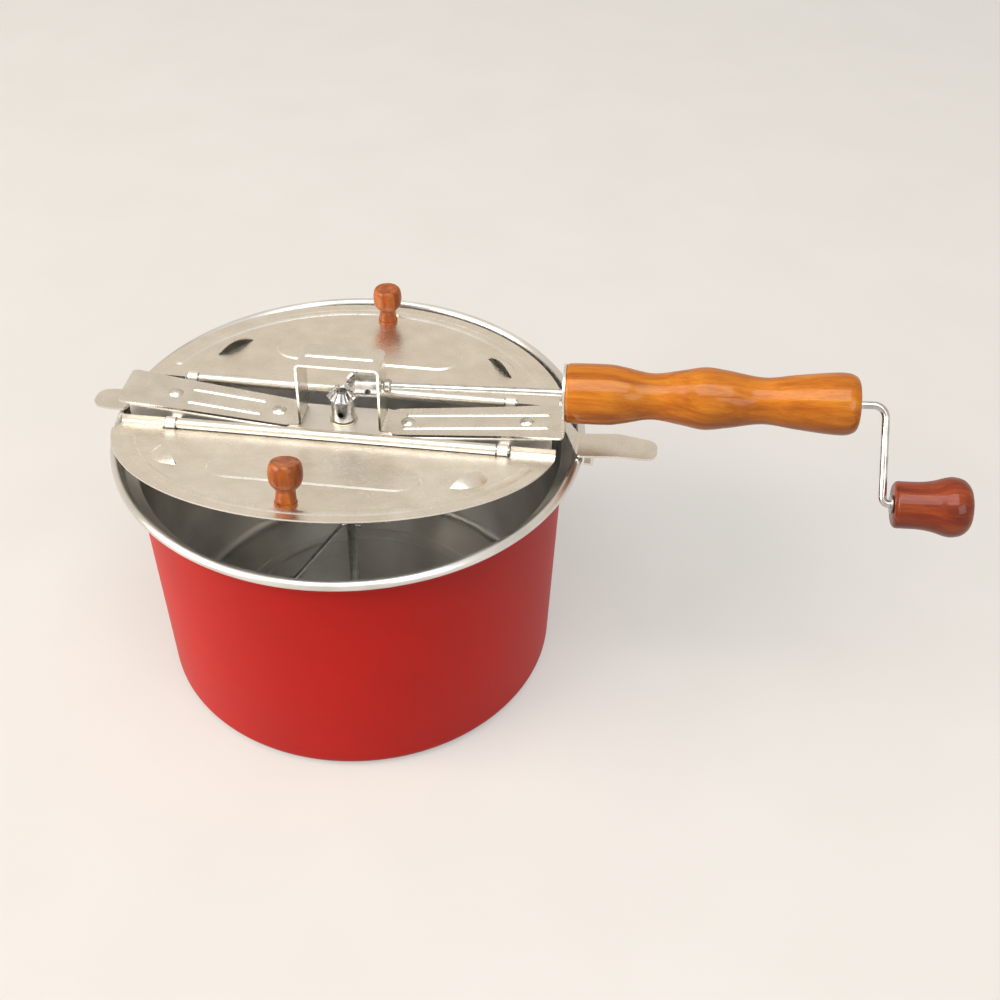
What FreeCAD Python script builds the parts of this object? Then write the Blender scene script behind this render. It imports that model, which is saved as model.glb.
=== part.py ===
import FreeCAD, Part
import os
from math import acos, asin, cos, degrees, pi, radians, sin, sqrt, tan

V = FreeCAD.Vector
os.makedirs("parts", exist_ok=True)

# Stovetop popcorn popper: a spun pan with a hinged two-leaf lid, and a crank that turns a
# stirrer through a pair of bevel gears. Millimetres, +Z up, +X towards the wooden handle.
# The origin is the centre of the pan's base, on the surface that the pan stands on.

# Clearances
run_gap = 0.06          # radial play of a shaft or pivot that turns
seat_gap = 0.02         # radial play of a pin or screw that does not turn
side_gap = 0.3          # end play between pieces that move past each other

# Pan
pan_height = 145.4
rim_r = 120.65          # outside of the rolled rim
bead_r = 2.5            # rolled rim
pan_wall = 1.6
ledge_w = 6.95          # how far the mouth steps out from the wall's inside
wall_taper = 3.7        # how much smaller the wall is at its foot
pan_corner_r = 7.0
step_drop = 11.9        # where the wall steps out to the mouth, below the rim's top
step_rise = 3.6
groove_r = 74.0         # stiffening ring pressed up into the flat base
groove_w = 9.0
groove_depth = 0.9

# Lid frame
frame_x = -3.5          # the lid frame sits a little off the pan's axis
sheet = 1.2             # cross bar, gear bracket and clips
bar_rise = 1.6          # the floor that the upright gear stands on, above the rim
left_flat = 24.0        # level middle, to the left of the shaft
right_flat = 29.6
bar_inset = 12.9       # each end of the cross bar, inside the rim
arm_slope = 6.1         # degrees that both arms rise
bar_half_w = 12.2
bar_side_h = 3.8        # drop of the cross bar's side flanges at its middle
bend_r = 1.6            # inside radius of a sheet bend

# Gear bracket: one strip that bridges the gears
bridge_half = 19.9      # inside half span of the bridge
bridge_h = 38.2         # outside height of the bridge
bridge_half_w = 9.5
foot_w = 25.4           # half length of the narrow strip under the bridge
arm_root_w = 11.0       # half widths of the strip along its arms
arm_mid_w = 12.5
arm_mid = 86.0
arm_end_w = 13.9
arm_inset = 7.15        # the left arm's end, inside the rim
rib_w = 3.6
rib_h = 0.8
left_rib_span = (43.0, 78.0)
right_rib_span = (33.0, 104.0)
rib_y = 5.4
rivet_r = 2.0
rivet_head_r = 3.8
rivet_head_h = 1.7
inner_rivet = 33.5      # along the bar from the shaft
pivot_inset = 30.15     # clip pivots, inside the rim

# Hinges and lid leaves
hinge_y = 20.0
hinge_rise = 3.8        # above the bar's floor
wire_r = 2.0
leaf_sheet = 0.8
leaf_gap = 1.65         # the leaf's round edge, inside the mouth
leaf_shift = 1.5        # the disc's centre from the frame's centre
barrel_half = 80.5      # half length of the curled edge
wire_over = 2.2         # hinge wire beyond its knuckle
knuckle_w = 5.0
flange_from = 88.0      # where the curl gives way to a low upright flange
flange_to = 110.2
flange_in = 2.5         # flange's outer face, inside the hinge line
flange_top = 1.8        # above the hinge line
rear_slope = 3.0        # degrees that the closed rear leaf falls outwards
front_open = 16.0       # degrees that the front leaf stands open
ring_inset = 8.5        # the bead's middle, inside the leaf's round edge
ring_w = 6.8
ring_h = 0.9
ring_from = 17.5        # the bead's ends, from the hinge line
panel_l = 104.0         # plain raised panel
panel_w = 28.0
panel_h = 0.7
panel_y = 62.5
panel_side = 1.5        # run of its sloping side
vent_inset = 21.7       # middle of the vent's slit, inside the leaf's round edge
vent_angle = 37.7       # degrees from the hinge line
vent_half = 12.3        # half length of the slit
vent_out = 7.3          # reach of the hood
vent_ball = 20.0        # radius that the hood is pressed to
vent_slit = 1.0

# Lid knobs
knob_x = 5.7
knob_inset = 16.0       # inside the leaf's round edge
knob_h = 20.5
knob_neck_r = 4.8
knob_head_r = 7.9
knob_top_r = 6.3
knob_screw_r = 1.6

# Crank axis: it meets the stirrer shaft's axis at the gears' common point
apex_rise = 21.8        # above the bar's floor
crank_tilt = 2.83       # degrees that the crank rises towards the handle
rod_r = 1.9
crank_gap = 0.08        # radial play of the rod in the handle and bracket
arm_gap = 13.4          # crank arm, beyond the handle
arm_len = 47.3
arm_swing = 41.3        # degrees from hanging down towards the front
crank_bend_r = 6.0
grip_bend_r = 3.4       # where the rod turns into the grip
grip_gap = 5.1          # grip, beyond the crank arm
grip_len = 36.6
grip_face_r = 10.2
grip_waist_r = 11.4
grip_swell_r = 14.5
grip_tip_r = 6.4

# Bevel gears: an equal pair
gear_teeth = 10
gear_module = 1.45
tooth_face = 4.6
tooth_angle = 25.0      # pressure angle in degrees
addendum = 0.85         # in modules
dedendum = 1.1
backlash = 0.34
gear_hub_r = 6.0
set_screw_r = 1.5

# Handle
handle_at = 113.1       # its face on the bracket's tab, from the gears' common point
handle_len = 141.0
handle_end_r = 15.2
handle_neck_r = 11.4
tab_r = 14.4
tab_screw_r = 1.6
tab_screw_y = 8.5

# Stirrer
shaft_r = 2.75
shaft_foot_z = 4.0
bush_r = 4.6
bush_flange_r = 7.0
bush_flange_t = 0.9
bush_drop = 3.6
stir_wire_r = 1.3
stir_inset = 13.6       # end of the long wire's foot, inside the pan's wall
stir_end_h = 26.0       # height of its upturned end
brace_reach = 62.0
brace_z = 74.0

# Lid clips
clip_half_w = 5.0
clip_lever_len = 66.5
clip_tab_len = 44.0
lever_half_w = 9.2
lever_y = -5.6          # the lever's middle at its root, at its crest and at its tip
lever_crest_y = -3.4
lever_tip_y = -5.4
tab_half_w = 8.2
tab_y = -1.0
clip_drop_in = 10.5     # where the clip steps down towards the rim, and where it is level again
clip_drop_out = 4.2
skirt_gap = 3.95        # inside of the skirt, outside the rim
lip_play = 0.55         # the hook's lip, outside the rim when unlocked
skirt_from = 2.2        # degrees round the pan
skirt_to = 4.9
lip_gap = 0.8           # below the rim bead
lever_rise = 0.7        # above the rim bead

# Sizes that follow
step_z = pan_height - step_drop
bar_top_z = pan_height + bar_rise
bar_low_z = bar_top_z - bar_side_h
bridge_top_z = bar_top_z + bridge_h
hinge_z = bar_top_z + hinge_rise
apex_z = bar_top_z + apex_rise
arm_at = handle_at + handle_len + arm_gap
grip_at = arm_at + grip_gap
bead_z = pan_height - bead_r
bead_centre_r = rim_r - bead_r
mouth_in_r = bead_centre_r - bead_r
pan_top_r = mouth_in_r - ledge_w + pan_wall
pan_base_r = pan_top_r - wall_taper
leaf_r = mouth_in_r - leaf_gap
ring_r = leaf_r - ring_inset
vent_r = leaf_r - vent_inset
knob_out = leaf_r - hinge_y - knob_inset
stir_reach = pan_base_r - stir_inset
bar_half = rim_r - bar_inset
arm_half = rim_r - arm_inset
pivot_x = rim_r - pivot_inset
skirt_r = rim_r + skirt_gap
lip_r = rim_r + lip_play
slope = tan(radians(arm_slope))
curl_in = wire_r + run_gap + seat_gap
curl_out = curl_in + leaf_sheet
cone = 45.0 + crank_tilt / 2.0
pitch_r = gear_module * gear_teeth / 2.0
shaft_at = V(frame_x, 0, 0)
apex = V(frame_x, 0, apex_z)
tilt = radians(crank_tilt)
along = V(cos(tilt), 0, sin(tilt))
swing = radians(arm_swing)
arm_dir = V(sin(tilt) * cos(swing), -sin(swing), -cos(tilt) * cos(swing))


def save(shape, name):
    """Write one node."""
    if isinstance(shape, list):
        shape = Part.makeCompound(shape)
    shape.exportStep("parts/" + name + ".step")


def rounded_wire(corners, closed=True):
    """A wire of straight runs whose corners have the radius that comes with each."""
    count = len(corners)
    ends = []
    for i, (point, radius) in enumerate(corners):
        if radius <= 0 or (not closed and i in (0, count - 1)):
            ends.append((point, None, point))
            continue
        back = (corners[i - 1][0] - point).normalize()
        ahead = (corners[(i + 1) % count][0] - point).normalize()
        half = acos(max(-1.0, min(1.0, back.dot(ahead)))) / 2.0
        middle = (back + ahead).normalize()
        cut = radius / tan(half)
        crown = point + middle * (radius / sin(half) - radius)
        ends.append((point + back * cut, crown, point + ahead * cut))
    edges = []
    for i, (start, crown, finish) in enumerate(ends):
        if crown is not None:
            edges.append(Part.Arc(start, crown, finish).toShape())
        if closed or i < count - 1:
            following = ends[(i + 1) % count][0]
            if (following - finish).Length > 1e-6:
                edges.append(Part.makeLine(finish, following))
    return Part.Wire(edges)


def rounded_face(corners):
    """A flat face with rounded corners."""
    return Part.Face(rounded_wire(corners))


def folded(points, bends, thickness, place):
    """Corners of a folded sheet's edge, from the line of one side and the bends' inside radii."""
    count = len(points)
    first, second = [], []
    for i, (a, b) in enumerate(points):
        normals = []
        if i > 0:
            da, db = a - points[i - 1][0], b - points[i - 1][1]
            normals.append((-db / sqrt(da * da + db * db), da / sqrt(da * da + db * db)))
        if i < count - 1:
            da, db = points[i + 1][0] - a, points[i + 1][1] - b
            normals.append((-db / sqrt(da * da + db * db), da / sqrt(da * da + db * db)))
        n, m = normals[0], normals[-1]
        scale = thickness / (1.0 + n[0] * m[0] + n[1] * m[1])
        left_turn = n[0] * m[1] - n[1] * m[0] > 0
        near = bends[i] + (thickness if left_turn and bends[i] > 0 else 0.0)
        far = bends[i] + (0.0 if left_turn or bends[i] <= 0 else thickness)
        first.append((place(a, b), near))
        second.append((place(a + (n[0] + m[0]) * scale, b + (n[1] + m[1]) * scale), far))
    return first + second[::-1]


def turned(points, radii=None):
    """A solid turned round Z from (radius, height) corners."""
    radii = radii or [0.0] * len(points)
    face = rounded_face([(V(r, 0, z), c) for (r, z), c in zip(points, radii)])
    return face.revolve(V(0, 0, 0), V(0, 0, 1), 360)


def turned_spline(points):
    """A solid turned round Z whose side is one smooth curve through (radius, height) points."""
    curve = Part.BSplineCurve()
    curve.interpolate([V(r, 0, z) for r, z in points])
    low, high = points[0][1], points[-1][1]
    edges = [curve.toShape()]
    edges.append(Part.makeLine(V(points[-1][0], 0, high), V(0, 0, high)))
    edges.append(Part.makeLine(V(0, 0, high), V(0, 0, low)))
    edges.append(Part.makeLine(V(0, 0, low), V(points[0][0], 0, low)))
    return Part.Face(Part.Wire(edges)).revolve(V(0, 0, 0), V(0, 0, 1), 360)


def box(x0, x1, y0, y1, z0, z1):
    """A box between two corners."""
    return Part.makeBox(x1 - x0, y1 - y0, z1 - z0, V(x0, y0, z0))


def rod(radius, start, finish):
    """A round bar between two points."""
    return Part.makeCylinder(radius, (finish - start).Length, start, finish - start)


def bent_rod(radius, corners):
    """A round bar along a path with rounded corners."""
    path = rounded_wire(corners, closed=False)
    start = corners[0][0]
    ring = Part.Wire(Part.makeCircle(radius, start, corners[1][0] - start))
    return path.makePipeShell([ring], True, False)


def on_crank(distance, down=0.0):
    """A point on the crank's axis, or below it along the crank arm."""
    return apex + along * distance + arm_dir * down


def crank_frame(distance):
    """Placement that stands local Z along the crank's axis."""
    return FreeCAD.Placement(on_crank(distance), FreeCAD.Rotation(V(0, 1, 0), 90.0 - crank_tilt))


def beyond_flat(x):
    """How far a point along the bar lies beyond the bar's level middle."""
    return abs(x) - (right_flat if x > 0 else left_flat)


def arm_z(x):
    """Height of the cross bar's top above a point along the bar, measured from the frame."""
    return bar_top_z + max(0.0, beyond_flat(x)) * slope


def arm_frame(x):
    """Placement on the bracket's arm, with local X along the slope and local Z off its top."""
    lean = 0.0 if beyond_flat(x) <= 0 else arm_slope * (1.0 if x > 0 else -1.0)
    lift = arm_z(x) + sheet / cos(radians(lean))
    rotation = FreeCAD.Rotation(V(0, 1, 0), -lean)
    return FreeCAD.Placement(V(frame_x + x, 0, lift), rotation)


def placed(shape, placement):
    """A copy of a shape in its place."""
    copy = shape.copy()
    copy.Placement = placement.multiply(copy.Placement)
    return copy


def embossed(plate, bump, thickness, up):
    """Press a bump into a sheet: it stands on one side and leaves a hollow on the other."""
    hollow = bump.copy()
    hollow.translate(up * -thickness)
    return plate.fuse(bump).cut(hollow)


def bead_section(half, height, skirt):
    """A low arch that stands on Z = 0 and reaches a little below it."""
    arc = Part.Arc(V(-half, 0, -skirt), V(0, 0, height), V(half, 0, -skirt)).toShape()
    return arc, Part.makeLine(V(half, 0, -skirt), V(-half, 0, -skirt))


def straight_bead(x0, x1, y, half, height, skirt):
    """A pressed rib with rounded ends, along X."""
    face = Part.Face(Part.Wire(bead_section(half, height, skirt)))
    face.rotate(V(0, 0, 0), V(0, 0, 1), 90)
    face.translate(V(x0, y, 0))
    shape = face.extrude(V(x1 - x0, 0, 0))
    for x in (x0, x1):
        shape = shape.fuse(bead_end(half, height, skirt, V(x, y, 0)))
    return shape


def bead_end(half, height, skirt, at):
    """The domed end of a pressed rib."""
    rise = height + skirt
    radius = (half ** 2 + rise ** 2) / (2 * rise)
    ball = Part.makeSphere(radius, V(at.x, at.y, at.z + height - radius))
    reach = 2.0 * radius
    return ball.common(box(at.x - reach, at.x + reach, at.y - reach, at.y + reach, at.z - skirt, at.z + reach))


def pan():
    """Spun pan: flat base with a pressed ring, slightly tapered wall, stepped mouth, rolled rim."""
    lean = (pan_top_r - pan_base_r) / step_z
    inner_top = pan_top_r - pan_wall
    inner_base = pan_base_r - pan_wall + lean * pan_wall
    step_top = step_z + step_rise
    low_r, high_r = groove_r - groove_w / 2, groove_r + groove_w / 2
    corners = [
        (0, 0, 0), (low_r, 0, 2), (low_r + 1.5, groove_depth, 2), (high_r - 1.5, groove_depth, 2),
        (high_r, 0, 2), (pan_base_r, 0, pan_corner_r),
        (pan_top_r, step_z, 1.5 + pan_wall), (mouth_in_r + pan_wall, step_top, 1.5),
        (mouth_in_r + pan_wall, bead_z, 0), (mouth_in_r, bead_z, 0),
        (mouth_in_r, step_top + pan_wall * 0.6, 1.5 + pan_wall), (inner_top, step_z + pan_wall * 0.6, 1.5),
        (inner_base, pan_wall, pan_corner_r - pan_wall), (high_r, pan_wall, 2),
        (high_r - 1.5, pan_wall + groove_depth, 2), (low_r + 1.5, pan_wall + groove_depth, 2),
        (low_r, pan_wall, 2), (0, pan_wall, 0)]
    shell = turned([(r, z) for r, z, _ in corners], [c for _, _, c in corners])
    bead = Part.makeTorus(bead_centre_r, bead_r, V(0, 0, bead_z))
    return shell.fuse(bead).removeSplitter()


def bar_side(top_drop, low_z, half):
    """Side view of the cross bar, as a flat face in X and Z."""
    top = [(-half, arm_z(-half)), (-left_flat, bar_top_z), (right_flat, bar_top_z), (half, arm_z(half))]
    points = [(x, z - top_drop) for x, z in top] + [(half, low_z), (-half, low_z)]
    return Part.Face(Part.makePolygon([V(frame_x + x, 0, z) for x, z in points + points[:1]]))


def cross_bar():
    """Channel across the mouth, open below, with four curled knuckles that hold the hinge wires."""
    outer = bar_side(0.0, bar_low_z, bar_half)
    outer.translate(V(0, -bar_half_w, 0))
    channel = outer.extrude(V(0, 2 * bar_half_w, 0))
    long_edges = [e for e in channel.Edges if e.BoundBox.ZMin > bar_low_z + 1 and e.BoundBox.XLength > 1]
    channel = channel.makeFillet(bend_r + sheet - 0.8, long_edges)
    core = bar_side(sheet, bar_low_z - 5, bar_half + 5)
    core.translate(V(0, sheet - bar_half_w, 0))
    channel = channel.cut(core.extrude(V(0, 2 * (bar_half_w - sheet), 0)))
    channel = channel.cut(rod(bush_r + seat_gap, shaft_at + V(0, 0, bar_low_z), apex))
    loop_in = wire_r + seat_gap
    loop_out = loop_in + sheet
    for side in (-1, 1):
        for end in (-1, 1):
            x0 = frame_x + end * (barrel_half + 1.0 + knuckle_w / 2.0) - knuckle_w / 2.0
            axis = V(x0, side * hinge_y, hinge_z)
            loop = Part.makeCylinder(loop_out, knuckle_w, axis, V(1, 0, 0))
            y0, y1 = sorted((side * (bar_half_w - sheet / 2.0), side * hinge_y))
            tongue = box(x0, x0 + knuckle_w, y0, y1, hinge_z - loop_out, hinge_z - loop_in)
            channel = channel.fuse(loop.fuse(tongue).cut(rod(loop_in, axis - V(1, 0, 0), axis + V(9, 0, 0))))
    return cut_rivet_holes(channel)


def rivet_places():
    """Distances along the frame of the four rivets: clip, bracket, bracket, clip."""
    return [-pivot_x - frame_x, -inner_rivet, inner_rivet, pivot_x - frame_x]


def cut_rivet_holes(shape):
    """Holes through the bar and bracket for the rivets."""
    for x in rivet_places():
        drill = placed(Part.makeCylinder(rivet_r + seat_gap, 16, V(0, 0, -10)), arm_frame(x))
        shape = shape.cut(drill)
    return shape


def tab_corner():
    """Where the underside of the right arm meets the handle's face."""
    face = on_crank(handle_at)
    # The face leans back by the crank's tilt: x = face.x - (z - face.z) tan(tilt)
    start = right_flat + frame_x
    x = (face.x - (bar_top_z - start * slope - face.z) * tan(tilt)) / (1 + slope * tan(tilt))
    return x, bar_top_z + (x - start) * slope


def gear_bracket():
    """One pressed strip: two ribbed arms, a bridge over the gears and a round tab for the handle."""
    corner_x, corner_z = tab_corner()
    rise = apex_z + handle_at * sin(tilt) + tab_r - corner_z
    centre = [(-arm_half, arm_z(-arm_half), 0.0), (-left_flat, bar_top_z, 0.0),
              (-bridge_half, bar_top_z, bend_r), (-bridge_half, bridge_top_z - sheet, bend_r),
              (bridge_half, bridge_top_z - sheet, bend_r), (bridge_half, bar_top_z, bend_r),
              (right_flat, bar_top_z, 0.0), (corner_x - frame_x, corner_z, bend_r),
              (corner_x - frame_x - rise * tan(tilt), corner_z + rise, 0.0)]
    points = [(x, z) for x, z, _ in centre]
    side = folded(points, [c for _, _, c in centre], sheet, lambda a, b: V(frame_x + a, -30, b))
    ribbon = Part.Face(rounded_wire(side)).extrude(V(0, 60, 0))
    tab_end = corner_x - frame_x + 3.0
    plan = [(-arm_half, arm_end_w, 3.0), (-arm_mid, arm_mid_w, 40.0), (-foot_w - 1.6, arm_root_w, 4.0),
            (-foot_w, bridge_half_w, 1.0), (foot_w, bridge_half_w, 1.0),
            (foot_w + 1.6, arm_root_w, 4.0), (arm_mid, arm_mid_w, 40.0), (corner_x - frame_x - 8, arm_end_w, 8.0),
            (corner_x - frame_x - 2, tab_r, 3.0), (tab_end, tab_r, 0.0)]
    outline = [(V(frame_x + x, w, bar_low_z), c) for x, w, c in plan]
    outline += [(V(frame_x + x, -w, bar_low_z), c) for x, w, c in reversed(plan)]
    strip = ribbon.common(rounded_face(outline).extrude(V(0, 0, bridge_top_z)))
    trim = box(-25, 25, -25, 25, -4, 2).cut(Part.makeCylinder(tab_r, 8, V(0, 0, -5)))
    trim = trim.cut(box(0, 30, -30, 30, -5, 3))
    strip = strip.cut(placed(trim, crank_frame(handle_at)))
    low = sheet * 0.4
    for x0, x1 in (left_rib_span, right_rib_span):
        side = -1.0 if x0 == left_rib_span[0] else 1.0
        frame = arm_frame(side * x0)
        span = (x1 - x0) / cos(radians(arm_slope))
        for y in (-rib_y, rib_y):
            bead = straight_bead(*sorted((0.0, side * span)), y, rib_w / 2, rib_h, low)
            strip = embossed(strip, placed(bead, frame), sheet, frame.Rotation.multVec(V(0, 0, 1)))
    bead = straight_bead(-bridge_half + 4, bridge_half - 4, 0, rib_w / 2 + 0.5, rib_h, low)
    bead.translate(V(frame_x, 0, bridge_top_z))
    strip = embossed(strip, bead, sheet, V(0, 0, 1))
    strip = strip.cut(rod(rod_r + crank_gap, on_crank(12), on_crank(handle_at + 17)))
    for y in (-tab_screw_y, tab_screw_y):
        hole = Part.makeCylinder(tab_screw_r + seat_gap, 8, V(0, y, -5))
        strip = strip.cut(placed(hole, crank_frame(handle_at)))
    return cut_rivet_holes(strip).removeSplitter()


def rivet(length):
    """Domed rivet: head on top, shank through, formed tail below. Local Z = 0 is under the head."""
    cap_r = (rivet_head_r ** 2 + rivet_head_h ** 2) / (2 * rivet_head_h)
    ball = Part.makeSphere(cap_r, V(0, 0, rivet_head_h - cap_r))
    head = ball.common(Part.makeCylinder(rivet_head_r + 1, 4))
    shank = Part.makeCylinder(rivet_r, length + 0.2, V(0, 0, -length))
    tail = turned([(0, -length), (rivet_r + 1.1, -length), (rivet_r + 0.6, -length - 1.0), (0, -length - 1.0)])
    return head.fuse(shank).fuse(tail).removeSplitter()


def rivet_set(places, grip):
    """The same rivet at each place along the bracket."""
    return [placed(rivet(grip), arm_frame(x)) for x in places]


def shaft_bush():
    """Flanged bush that the stirrer shaft turns in."""
    low = bar_top_z - bush_drop
    high = bar_top_z + bush_flange_t
    bore = shaft_r + run_gap
    bush = turned([(bore, low), (bush_r, low), (bush_r, bar_top_z), (bush_flange_r, bar_top_z),
                   (bush_flange_r, high), (bore, high)], [0, 0.4, 0, 0, 0.4, 0.2])
    bush.translate(shaft_at)
    return bush


def hinge_wire(side):
    """Straight wire that a leaf's curled edge turns on."""
    half = barrel_half + knuckle_w + wire_over
    wire = rod(wire_r, V(frame_x - half, side * hinge_y, hinge_z), V(frame_x + half, side * hinge_y, hinge_z))
    return wire.makeChamfer(0.4, [e for e in wire.Edges if e.Length > 5 and len(e.Vertexes) == 1])


def handle():
    """Turned wooden handle with three swellings, bored for the crank rod."""
    bulge, neck = handle_end_r, handle_neck_r
    share = [(0.0, bulge - 1.4), (0.012, bulge - 0.5), (0.06, bulge - 0.25), (0.15, bulge - 0.3), (0.2, bulge - 1.3),
             (0.3, neck), (0.4, bulge - 1.8), (0.48, bulge + 0.1), (0.56, bulge - 1.2), (0.68, neck),
             (0.79, bulge - 2.0), (0.9, bulge - 0.3), (0.96, bulge - 0.1), (0.99, bulge - 1.6), (1.0, bulge - 3.6)]
    body = turned_spline([(r, f * handle_len) for f, r in share])
    body = body.cut(Part.makeCylinder(rod_r + crank_gap, handle_len + 10, V(0, 0, -5)))
    for y in (-tab_screw_y, tab_screw_y):
        body = body.cut(Part.makeCylinder(tab_screw_r + seat_gap, 14.5, V(0, y, -0.5)))
    return placed(body, crank_frame(handle_at + seat_gap))


def handle_screws():
    """Two screws through the bracket's tab into the handle."""
    screws = []
    for y in (-tab_screw_y, tab_screw_y):
        screw = turned([(0, -sheet - 1.9), (1.6, -sheet - 1.9), (3.0, -sheet), (tab_screw_r, -sheet),
                        (tab_screw_r, 11), (0.3, 13.6), (0, 13.6)], [0, 1.0, 0, 0, 0, 0, 0])
        screw.translate(V(0, y, 0))
        screws.append(placed(screw, crank_frame(handle_at)))
    return screws


def leaf_panel():
    """Half-round lid leaf, in its own frame: origin on the hinge axis, Y outwards, level."""
    top, low = -curl_in, -curl_out
    centre = V(leaf_shift, -hinge_y, 0)
    disc = Part.makeCylinder(leaf_r, leaf_sheet, centre + V(0, 0, low))
    reach = leaf_r + 5
    middle = box(-barrel_half, barrel_half, 0, reach, low, top)
    inner = box(-flange_from, flange_from, curl_out + side_gap, reach, low, top)
    plate = disc.common(middle.fuse(inner).fuse(box(-reach, reach, 7, reach, low, top)))
    fold = folded([(8.0, top), (leaf_sheet - flange_in, top), (leaf_sheet - flange_in, flange_top)],
                  [0.0, 2.0, 0.0], leaf_sheet, lambda a, b: V(0, a, b))
    for x0, x1 in ((-flange_to, -flange_from), (flange_from, flange_to)):
        flange = Part.Face(rounded_wire([(p + V(x0, 0, 0), c) for p, c in fold])).extrude(V(x1 - x0, 0, 0))
        plate = plate.fuse(flange.common(Part.makeCylinder(leaf_r, 30, centre + V(0, 0, -10))))
    curl = Part.makeCylinder(curl_out, 2 * barrel_half, V(-barrel_half, 0, 0), V(1, 0, 0))
    curl = curl.cut(Part.makeCylinder(curl_in, 2 * barrel_half, V(-barrel_half, 0, 0), V(1, 0, 0)))
    gate = [V(0, r * cos(radians(a)), r * sin(radians(a))) for r, a in
            ((0, 0), (5, -89), (6, -60), (5, -32), (0, 0))]
    wedge = Part.Face(Part.makePolygon(gate)).extrude(V(2 * barrel_half, 0, 0))
    wedge.translate(V(-barrel_half, 0, 0))
    plate = plate.fuse(curl.cut(wedge))
    up = V(0, 0, 1)
    low_skirt = leaf_sheet * 0.4
    plate = embossed(plate, leaf_ring(centre, top, low_skirt), leaf_sheet, up)
    plate = embossed(plate, raised_panel(centre, top, low_skirt), leaf_sheet, up)
    for side in (-1, 1):
        plate = add_vent(plate, centre, side, top, low)
    plate = plate.cut(Part.makeCylinder(knob_screw_r + seat_gap, 10, V(knob_x, knob_out, -8)))
    return plate.removeSplitter()


def leaf_ring(centre, top, skirt):
    """Pressed bead that follows the leaf's round edge and stops on both sides of the knob."""
    start = degrees(asin((hinge_y + ring_from) / ring_r))
    face = Part.Face(Part.Wire(bead_section(ring_w / 2, ring_h, skirt)))
    face.translate(V(ring_r, 0, 0))
    bead = face.revolve(V(0, 0, 0), V(0, 0, 1), 180 - 2 * start)
    bead.rotate(V(0, 0, 0), V(0, 0, 1), start)
    for angle in (start, 180 - start):
        at = V(ring_r * cos(radians(angle)), ring_r * sin(radians(angle)), 0)
        bead = bead.fuse(bead_end(ring_w / 2, ring_h, skirt, at))
    bead.translate(centre + V(0, 0, top))
    return bead.cut(Part.makeCylinder(knob_neck_r + 3.0, 20, V(knob_x, knob_out, -10)))


def stadium(length, width, z):
    """A wire with round ends, in a level plane."""
    a, r = length / 2 - width / 2, width / 2
    points = [V(-a, -r, z), V(a, -r, z), V(a + r, 0, z), V(a, r, z), V(-a, r, z), V(-a - r, 0, z)]
    edges = [Part.makeLine(points[0], points[1]), Part.Arc(points[1], points[2], points[3]).toShape(),
             Part.makeLine(points[3], points[4]), Part.Arc(points[4], points[5], points[0]).toShape()]
    return Part.Wire(edges)


def raised_panel(centre, top, skirt):
    """Plain raised panel with round ends and sloping sides."""
    foot = stadium(panel_l, panel_w, -skirt)
    crown = stadium(panel_l - 2 * panel_side, panel_w - 2 * panel_side, panel_h)
    bump = Part.makeLoft([foot, crown], True, True)
    bump.translate(centre + V(0, panel_y, top))
    return bump


def add_vent(plate, centre, side, top, low):
    """Steam vent: the sheet is slit across a radius and its outer side is pressed up into a hood."""
    cut = (vent_half ** 2 - vent_out ** 2) / (2 * vent_out)
    foot_r = cut + vent_out
    middle = V(0, -cut, -sqrt(vent_ball ** 2 - foot_r ** 2))
    outer = Part.makeSphere(vent_ball, middle)
    inner = Part.makeSphere(vent_ball - leaf_sheet, middle)
    reach = 2 * vent_half
    hood = outer.common(box(-reach, reach, 0, reach, low - top, vent_ball)).cut(inner)
    hole = inner.common(box(-reach, reach, -vent_slit, reach, low - top - 1, vent_ball))
    angle = radians(vent_angle)
    middle = centre + V(side * vent_r * cos(angle), vent_r * sin(angle), top)
    place = FreeCAD.Placement(middle, FreeCAD.Rotation(V(0, 0, 1), side * (vent_angle - 90.0)))
    return plate.cut(placed(hole, place)).fuse(placed(hood, place))


def leaf_knob():
    """Turned knob, in the leaf's frame: a base ring, a slim neck and a flat-topped head."""
    neck, head, height = knob_neck_r, knob_head_r, knob_h
    base = Part.makeCylinder(neck + 0.5, 1.2)
    points = [(neck, 0.0), (neck, 0.15 * height), (neck + 0.1, 0.36 * height), (head - 1.3, 0.46 * height),
              (head - 0.1, 0.63 * height), (head, 0.75 * height), (head - 0.3, 0.88 * height),
              (head - 0.9, 0.965 * height), (knob_top_r, height)]
    body = turned_spline(points).fuse(base)
    body = body.cut(Part.makeCylinder(knob_screw_r + seat_gap, 14.2, V(0, 0, -0.1)))
    body.translate(V(knob_x, knob_out, -curl_in))
    return body


def knob_screw():
    """Screw from under the leaf into its knob, in the leaf's frame."""
    under = -leaf_sheet
    screw = turned([(0, under - 1.7), (1.5, under - 1.7), (3.1, under), (knob_screw_r, under),
                    (knob_screw_r, 11.6), (0.3, 13.4), (0, 13.4)], [0, 0.9, 0, 0, 0, 0, 0])
    screw.translate(V(knob_x, knob_out, -curl_in))
    return screw


def leaf_place(front):
    """Where a leaf's own frame goes: the front leaf is the rear one turned end for end."""
    turn = FreeCAD.Rotation(V(0, 0, 1), 180 if front else 0)
    pitch = FreeCAD.Rotation(V(1, 0, 0), -front_open if front else -rear_slope)
    return FreeCAD.Placement(V(frame_x, -hinge_y if front else hinge_y, hinge_z), pitch.multiply(turn))


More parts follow.
